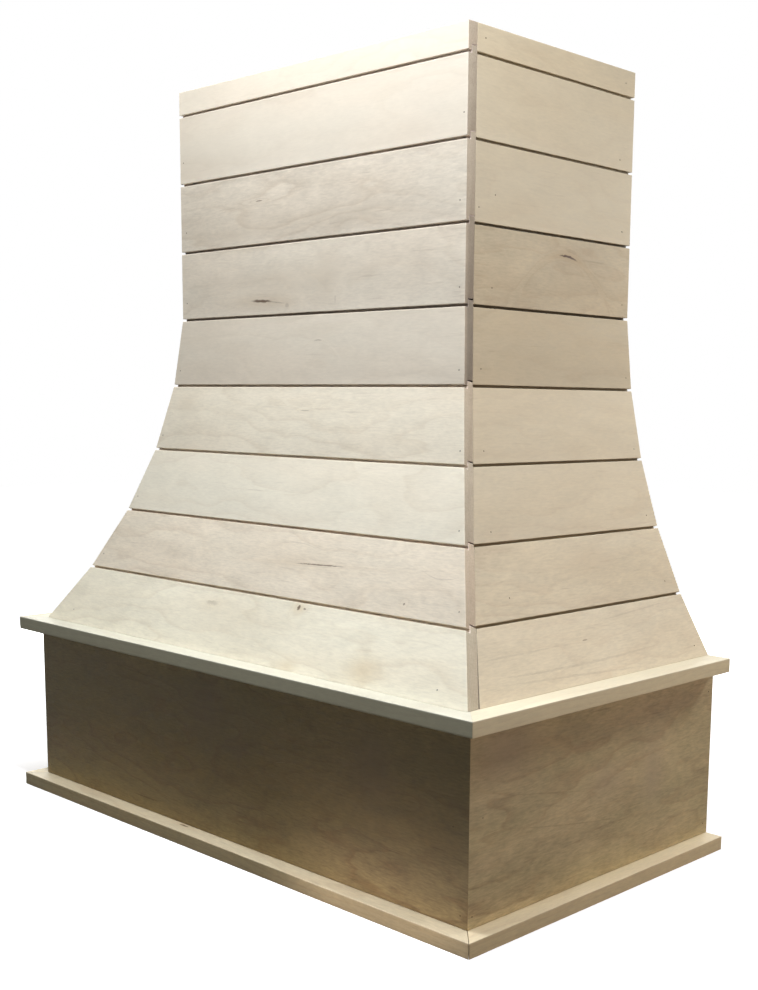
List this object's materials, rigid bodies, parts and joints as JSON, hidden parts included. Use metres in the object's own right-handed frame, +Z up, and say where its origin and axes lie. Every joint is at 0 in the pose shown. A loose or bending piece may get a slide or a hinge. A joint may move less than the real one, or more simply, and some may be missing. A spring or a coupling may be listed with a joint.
{
  "type": "range hood cover",
  "caption": "Wooden cover for a kitchen range hood: shiplap boards flare out over a plain apron with two flat mouldings. Open at the back, top and bottom.",
  "frame": {"origin": "middle of the cover's outline on the plane of the foot moulding's underside", "axes": "+Z up, -Y towards the room, +Y towards the wall, +X to the right as seen from the room"},
  "size_m": [0.9652, 0.527, 1.0668],
  "materials": {
    "front_boards": "unfinished maple, fine sanded",
    "side_boards": "unfinished maple, fine sanded",
    "mouldings": "unfinished maple, eased edges",
    "apron_panels": "unfinished maple veneer, sanded",
    "frame": "unfinished plywood and softwood"
  },
  "bodies": {
    "root": {"front_top_strip": "front_boards", "front_board_1": "front_boards", "front_board_2": "front_boards", "front_board_3": "front_boards", "front_board_4": "front_boards", "front_board_5": "front_boards", "front_board_6": "front_boards", "front_board_7": "front_boards", "front_board_8": "front_boards", "right_top_strip": "side_boards", "right_board_1": "side_boards", "right_board_2": "side_boards", "right_board_3": "side_boards", "right_board_4": "side_boards", "right_board_5": "side_boards", "right_board_6": "side_boards", "right_board_7": "side_boards", "right_board_8": "side_boards", "left_top_strip": "side_boards", "left_board_1": "side_boards", "left_board_2": "side_boards", "left_board_3": "side_boards", "left_board_4": "side_boards", "left_board_5": "side_boards", "left_board_6": "side_boards", "left_board_7": "side_boards", "left_board_8": "side_boards", "ledge_front": "mouldings", "ledge_right": "mouldings", "ledge_left": "mouldings", "foot_front": "mouldings", "foot_right": "mouldings", "foot_left": "mouldings", "apron_front": "apron_panels", "apron_right": "apron_panels", "apron_left": "apron_panels", "corner_post_right": "frame", "corner_post_left": "frame", "back_stile_right": "frame", "back_stile_left": "frame", "centre_rib": "frame", "hanging_rail": "frame", "apron_back_rail": "frame", "apron_block_right": "frame", "apron_block_left": "frame", "top_rail_front": "frame", "top_rail_right": "frame", "top_rail_left": "frame", "sill_front": "frame", "sill_right": "frame", "sill_left": "frame", "ledge_cleat_front": "frame", "ledge_cleat_right": "frame", "ledge_cleat_left": "frame", "insert_cleat_front": "frame", "insert_cleat_right": "frame", "insert_cleat_left": "frame"}
  },
  "joints": []
}
